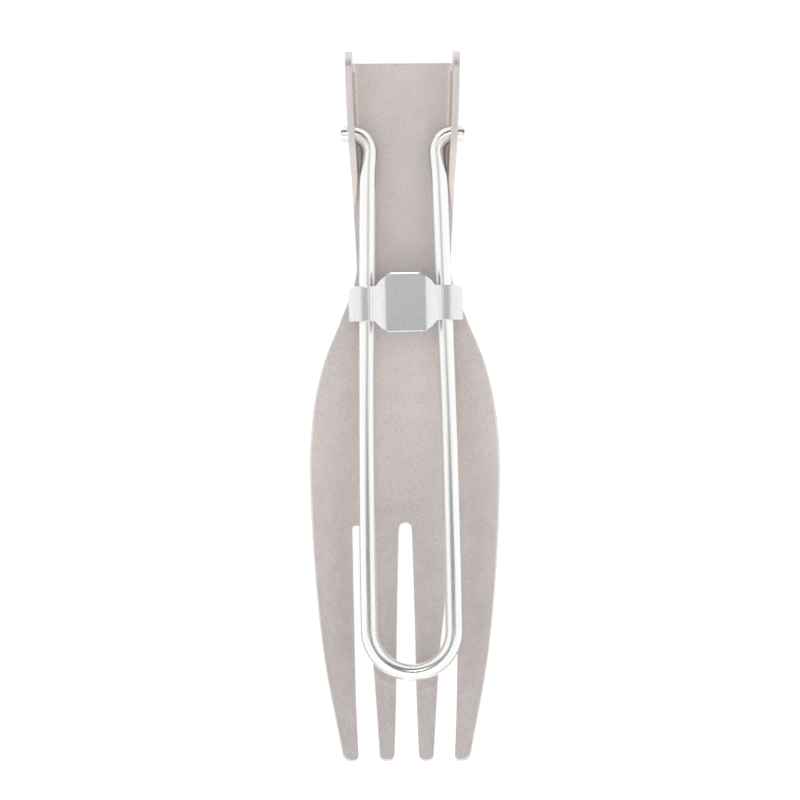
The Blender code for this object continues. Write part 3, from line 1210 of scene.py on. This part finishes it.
@dataclass
class Studio:
    """A white table, soft light and a camera that looks straight down."""

    middle: Vector = field(default_factory=lambda: Vector((-0.66 * MM, 0.87 * MM, 6.65 * MM)))
    height: float = 1.20
    field_width: float = 117.1 * MM
    sensor: float = 36.0
    roll: float = math.radians(-0.36)
    table: float = 3.0
    white: float = 1.12
    table_grey: float = 0.4
    table_glow: float = 0.75
    flag_middle: Vector = field(default_factory=lambda: Vector((-0.01, -0.030, 0.22)))
    flag_size: Point = (0.24, 0.030)
    flag_grey: float = 0.03
    softbox_place: Vector = field(default_factory=lambda: Vector((-0.03, 0.15, 0.44)))
    softbox_size: float = 0.07
    softbox_watts: float = 0.11
    cards: tuple[Card, ...] = (
        Card(tilt=0.0, full=6.0, gone=15.0, level=0.62),
        Card(tilt=-22.0, full=6.0, gone=24.0, level=1.42),
        Card(tilt=30.0, full=14.0, gone=34.0, level=0.05),
    )

    def build_table(self) -> None:
        """Lay the plain table top under the fork."""
        bm = bmesh.new()
        bmesh.ops.create_grid(bm, x_segments=1, y_segments=1, size=self.table / 2)
        material, shader = new_finish("white_table")
        inputs = {"Base Color": (self.table_grey, self.table_grey, self.table_grey, 1.0), "Roughness": 0.9,
                  "Emission Color": (1.0, 1.0, 1.0, 1.0), "Emission Strength": self.table_glow}
        surface = shader.node("ShaderNodeBsdfPrincipled", {}, inputs)
        shader.node("ShaderNodeOutputMaterial", {}, {"Surface": surface})
        table = make_piece("table_top", bm, material)

    def build_surroundings(self) -> None:
        """Surround the fork with white: greyer overhead, brighter past the tines, dark past the stem."""
        world = bpy.data.worlds.new("studio")
        bpy.context.scene.world = world
        world.use_nodes = True
        shader = Shader(world.node_tree)
        look = shader.node("ShaderNodeTexCoord", {}, {}, "Generated")
        level = self.white
        for card in self.cards:
            near = self.towards(shader, look, card.tilt)
            share = near.rise(math.cos(math.radians(card.gone)), math.cos(math.radians(card.full)))
            level = level + share * (card.level - level)
        sky = shader.node("ShaderNodeBackground", {}, {"Color": (1.0, 1.0, 1.0, 1.0), "Strength": level})
        shader.node("ShaderNodeOutputWorld", {}, {"Surface": sky})

    def towards(self, shader: Shader, look: Signal, tilt: float) -> Signal:
        """Measure how nearly a direction points at a place above the table.

        Args:
            shader: The world's shader.
            look: The direction.
            tilt: The place's angle from straight up in degrees, positive beyond the stem.

        Returns:
            The cosine of the angle between them.
        """
        angle = math.radians(tilt)
        aim = (0.0, math.sin(angle), math.cos(angle))
        return shader.node("ShaderNodeVectorMath", {"operation": "DOT_PRODUCT"}, {0: look, 1: aim}, 1)

    def build_flag(self) -> None:
        """Hang a black flag over the tines, which only the metal sees."""
        bm = bmesh.new()
        bmesh.ops.create_grid(bm, x_segments=1, y_segments=1, size=0.5)
        bmesh.ops.scale(bm, vec=(*self.flag_size, 1.0), verts=bm.verts)
        bmesh.ops.translate(bm, vec=self.flag_middle, verts=bm.verts)
        material, shader = new_finish("black_flag")
        inputs = {"Base Color": (self.flag_grey, self.flag_grey, self.flag_grey, 1.0), "Roughness": 0.9}
        surface = shader.node("ShaderNodeBsdfPrincipled", {}, inputs)
        shader.node("ShaderNodeOutputMaterial", {}, {"Surface": surface})
        flag = make_piece("black_flag", bm, material)
        flag.visible_camera = False

    def build_softbox(self) -> None:
        """Hang a small softbox past the stem, facing the fork."""
        light = bpy.data.lights.new("stem_softbox", "AREA")
        light.shape = "SQUARE"
        light.size = self.softbox_size
        light.energy = self.softbox_watts
        lamp = bpy.data.objects.new("stem_softbox", light)
        lamp.location = self.softbox_place
        lamp.rotation_euler = (-self.softbox_place).to_track_quat("-Z", "Y").to_euler()
        bpy.context.scene.collection.objects.link(lamp)

    def build_camera(self) -> None:
        """Hang the camera over the fork."""
        data = bpy.data.cameras.new("overhead_camera")
        data.sensor_width = self.sensor
        data.lens = self.sensor * self.height / self.field_width
        data.clip_start = 0.01
        camera = bpy.data.objects.new("overhead_camera", data)
        camera.location = self.middle + Vector((0.0, 0.0, self.height))
        camera.rotation_euler = (0.0, 0.0, self.roll)
        bpy.context.scene.collection.objects.link(camera)
        bpy.context.scene.camera = camera

    def build(self) -> None:
        """Set up the whole studio."""
        bpy.context.scene.view_settings.view_transform = "Standard"
        self.build_table()
        self.build_surroundings()
        self.build_flag()
        self.build_softbox()
        self.build_camera()


def main() -> None:
    """Build the fork piece by piece, then its surroundings."""
    logging.basicConfig(level=logging.INFO, format="%(name)s: %(message)s")
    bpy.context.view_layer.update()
    pivot = Pivot.from_frame()
    wire = Wire(pivot)
    works = (
        (ForkHead(pivot), BlastedTitanium()),
        (wire, PolishedWire()),
        (SlideLock(wire), StampedStainless()),
    )
    for work, finish in works:
        piece = work.build(finish.make())
        log.info("%s: %d faces", piece.name, len(piece.data.polygons))
    Studio().build()
    bpy.context.view_layer.update()


if __name__ == "__main__":
    main()
